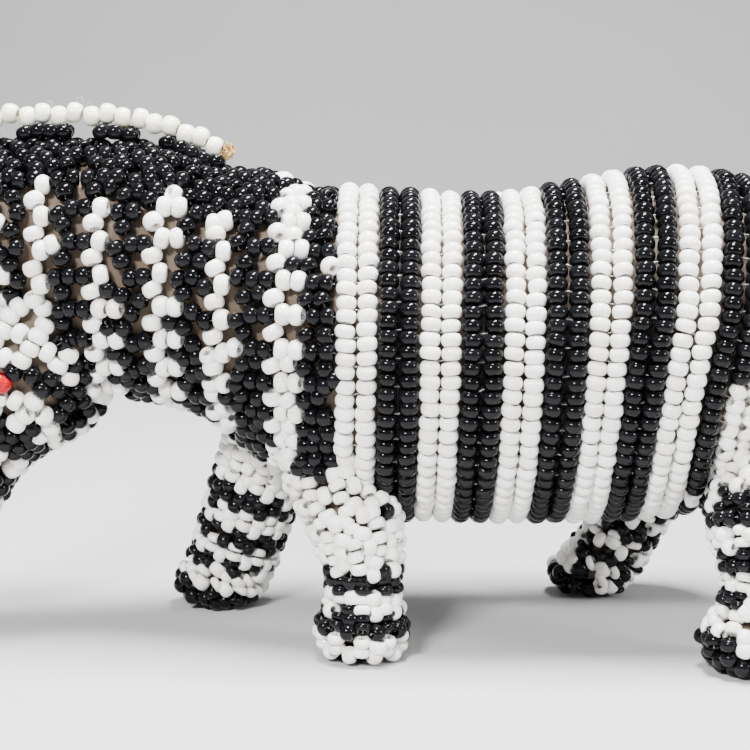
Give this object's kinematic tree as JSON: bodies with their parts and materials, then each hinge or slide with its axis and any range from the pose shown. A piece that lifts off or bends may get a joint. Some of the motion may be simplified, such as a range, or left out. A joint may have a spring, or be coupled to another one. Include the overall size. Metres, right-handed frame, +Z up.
{
  "type": "beaded zebra figure",
  "caption": "Small standing zebra figure of black and white glass seed beads netted on nylon thread over a taped, wired padding, with a hanging tail.",
  "frame": {"origin": "on the ground under the middle of the figure's length and width", "axes": "+X from nose to tail, -Y towards the animal's left side, +Z up"},
  "size_m": [0.1134, 0.0449, 0.0629],
  "materials": {
    "black_glass_beads": "glossy opaque black glass",
    "white_glass_beads": "glossy opaque white glass",
    "red_glass_beads": "glossy opaque red glass",
    "taped_padding": "smooth pale tan cloth tape",
    "armature_wire": "drawn wire",
    "nylon_line": "clear nylon line",
    "thread_knot": "knotted nylon with a drop of glue"
  },
  "bodies": {
    "figure": {"barrel_stripe_01_white": "white_glass_beads", "barrel_stripe_02_black": "black_glass_beads", "barrel_stripe_03_white": "white_glass_beads", "barrel_stripe_04_black": "black_glass_beads", "barrel_stripe_05_white": "white_glass_beads", "barrel_stripe_06_black": "black_glass_beads", "barrel_stripe_07_white": "white_glass_beads", "barrel_stripe_08_black": "black_glass_beads", "barrel_stripe_09_white": "white_glass_beads", "barrel_stripe_10_black": "black_glass_beads", "barrel_stripe_11_white": "white_glass_beads", "body_core": "taped_padding", "cheek_net": "white_glass_beads", "crest_net_black": "black_glass_beads", "eye_beads": "red_glass_beads", "forehead_net": "white_glass_beads", "front_left_leg_core": "taped_padding", "front_left_shin_and_hoof_net": "black_glass_beads", "front_left_upper_leg_net": "white_glass_beads", "front_leg_wire": "armature_wire", "front_right_leg_core": "taped_padding", "front_right_shin_and_hoof_net": "black_glass_beads", "front_right_upper_leg_net": "white_glass_beads", "head_core": "taped_padding", "left_ear": "black_glass_beads", "mane_crest_beads": "white_glass_beads", "mane_end_knot": "thread_knot", "mane_upright_beads": "black_glass_beads", "muzzle_net_black": "black_glass_beads", "neck_core": "taped_padding", "neck_stripe_01_black": "black_glass_beads", "neck_stripe_02_white": "white_glass_beads", "neck_stripe_03_black": "black_glass_beads", "neck_stripe_04_white": "white_glass_beads", "neck_stripe_05_black": "black_glass_beads", "neck_stripe_06_white": "white_glass_beads", "neck_stripe_07_black": "black_glass_beads", "neck_stripe_08_white": "white_glass_beads", "neck_stripe_09_black": "black_glass_beads", "neck_stripe_10_white": "white_glass_beads", "neck_stripe_11_black": "black_glass_beads", "nostril_beads": "black_glass_beads", "rear_left_leg_core": "taped_padding", "rear_left_shin_and_hoof_net": "black_glass_beads", "rear_left_upper_leg_net": "white_glass_beads", "rear_leg_wire": "armature_wire", "rear_right_leg_core": "taped_padding", "rear_right_shin_and_hoof_net": "black_glass_beads", "rear_right_upper_leg_net": "white_glass_beads", "right_ear": "black_glass_beads", "rump_cap_white": "white_glass_beads", "rump_stripe_black": "black_glass_beads", "snout_stripe_black": "black_glass_beads", "snout_stripe_white": "white_glass_beads", "spine_wire": "armature_wire", "tail_dock": "white_glass_beads"},
    "tail_link": {"tail_link": "nylon_line"},
    "tail_strand": {"tail_strand": "black_glass_beads", "tail_tassel": "black_glass_beads"}
  },
  "joints": [
    {"name": "tail_sway", "type": "hinge", "parent": "figure", "child": "tail_link", "pos_m": [0.05416, 0, 0.0466], "axis": [1, 0, 0], "range_deg": [-35, 35]},
    {"name": "tail_swing", "type": "hinge", "parent": "tail_link", "child": "tail_strand", "pos_m": [0.05416, 0, 0.0466], "axis": [0, -1, 0], "range_deg": [0, 60]}
  ]
}
